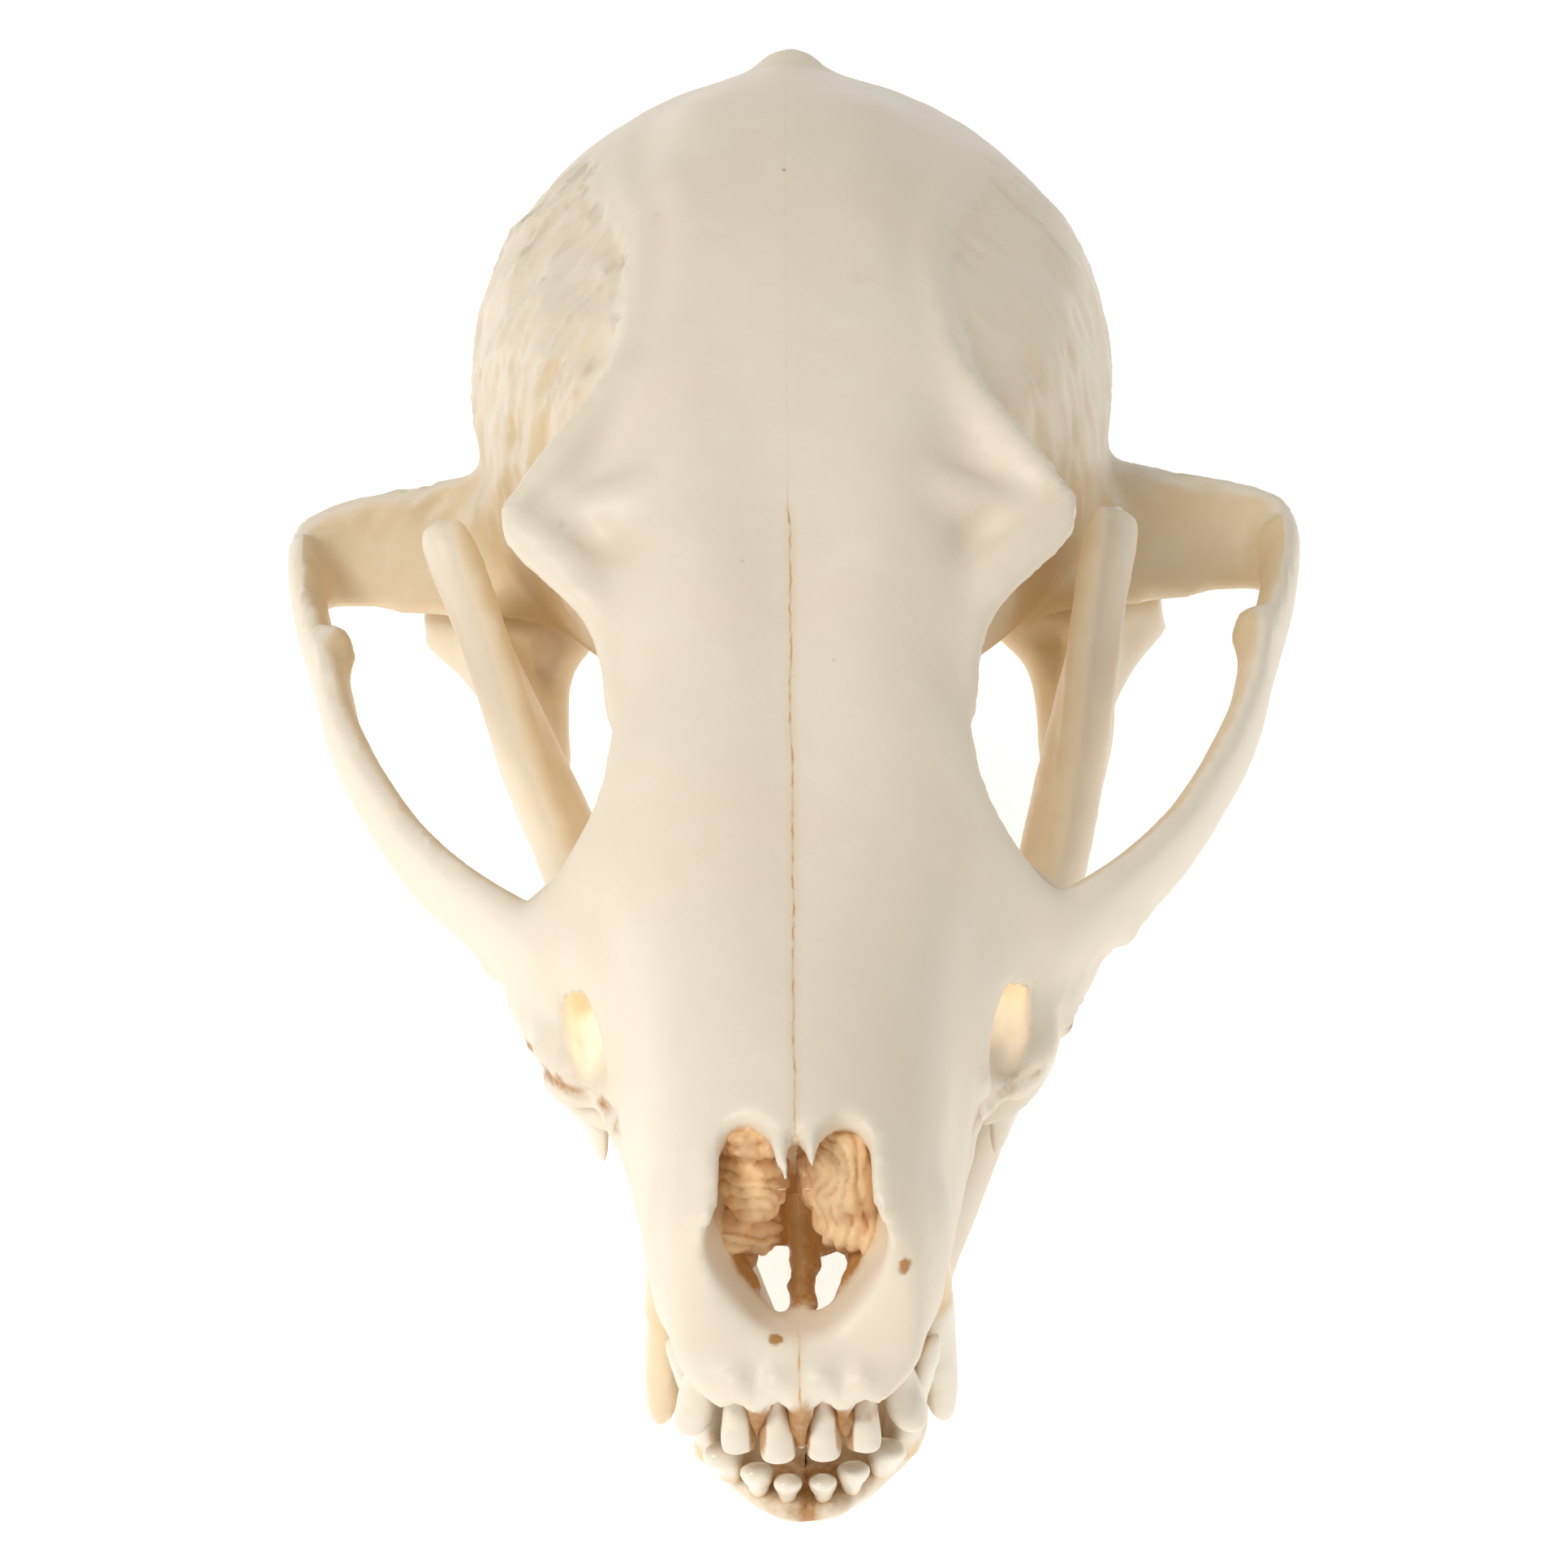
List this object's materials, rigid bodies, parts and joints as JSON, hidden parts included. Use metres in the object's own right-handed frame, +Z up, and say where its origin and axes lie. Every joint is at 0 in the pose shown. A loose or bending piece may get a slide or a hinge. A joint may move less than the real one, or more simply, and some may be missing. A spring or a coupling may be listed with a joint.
{
  "type": "fox skull",
  "caption": "Dry bleached fox skull with its lower jaw and teeth in place, lying on the rounded lower edges of the jaw.",
  "frame": {"origin": "on the surface that the skull lies on, under the middle of the skull's bounding box", "axes": "+X to the animal's left, +Y from the snout to the back of the head, +Z up"},
  "size_m": [0.0695, 0.1228, 0.0482],
  "materials": {
    "cranium_bone": "dry bleached bone, matte, cream with tan in the hollows",
    "lower_jaw_bone": "dry bleached bone, matte, slightly warmer than the cranium",
    "incisor_enamel": "natural enamel, soft gloss, brown stain between the teeth",
    "canine_enamel": "natural enamel, soft gloss, yellowed towards the root",
    "cheek_tooth_enamel": "natural enamel, soft gloss"
  },
  "bodies": {
    "root": {"cranium": "cranium_bone", "lower_jaw_left": "lower_jaw_bone", "lower_jaw_right": "lower_jaw_bone", "upper_incisor_1_left": "incisor_enamel", "upper_incisor_1_right": "incisor_enamel", "upper_incisor_2_left": "incisor_enamel", "upper_incisor_2_right": "incisor_enamel", "upper_incisor_3_left": "incisor_enamel", "upper_incisor_3_right": "incisor_enamel", "upper_canine_left": "canine_enamel", "upper_canine_right": "canine_enamel", "upper_premolar_1_left": "cheek_tooth_enamel", "upper_premolar_1_right": "cheek_tooth_enamel", "upper_premolar_2_left": "cheek_tooth_enamel", "upper_premolar_2_right": "cheek_tooth_enamel", "upper_premolar_3_left": "cheek_tooth_enamel", "upper_premolar_3_right": "cheek_tooth_enamel", "upper_premolar_4_left": "cheek_tooth_enamel", "upper_premolar_4_right": "cheek_tooth_enamel", "upper_molar_1_left": "cheek_tooth_enamel", "upper_molar_1_right": "cheek_tooth_enamel", "upper_molar_2_left": "cheek_tooth_enamel", "upper_molar_2_right": "cheek_tooth_enamel", "lower_incisor_1_left": "incisor_enamel", "lower_incisor_1_right": "incisor_enamel", "lower_incisor_2_left": "incisor_enamel", "lower_incisor_2_right": "incisor_enamel", "lower_incisor_3_left": "incisor_enamel", "lower_incisor_3_right": "incisor_enamel", "lower_canine_left": "canine_enamel", "lower_canine_right": "canine_enamel", "lower_premolar_1_left": "cheek_tooth_enamel", "lower_premolar_1_right": "cheek_tooth_enamel", "lower_premolar_2_left": "cheek_tooth_enamel", "lower_premolar_2_right": "cheek_tooth_enamel", "lower_premolar_3_left": "cheek_tooth_enamel", "lower_premolar_3_right": "cheek_tooth_enamel", "lower_premolar_4_left": "cheek_tooth_enamel", "lower_premolar_4_right": "cheek_tooth_enamel", "lower_molar_1_left": "cheek_tooth_enamel", "lower_molar_1_right": "cheek_tooth_enamel", "lower_molar_2_left": "cheek_tooth_enamel", "lower_molar_2_right": "cheek_tooth_enamel", "lower_molar_3_left": "cheek_tooth_enamel", "lower_molar_3_right": "cheek_tooth_enamel"}
  },
  "joints": []
}
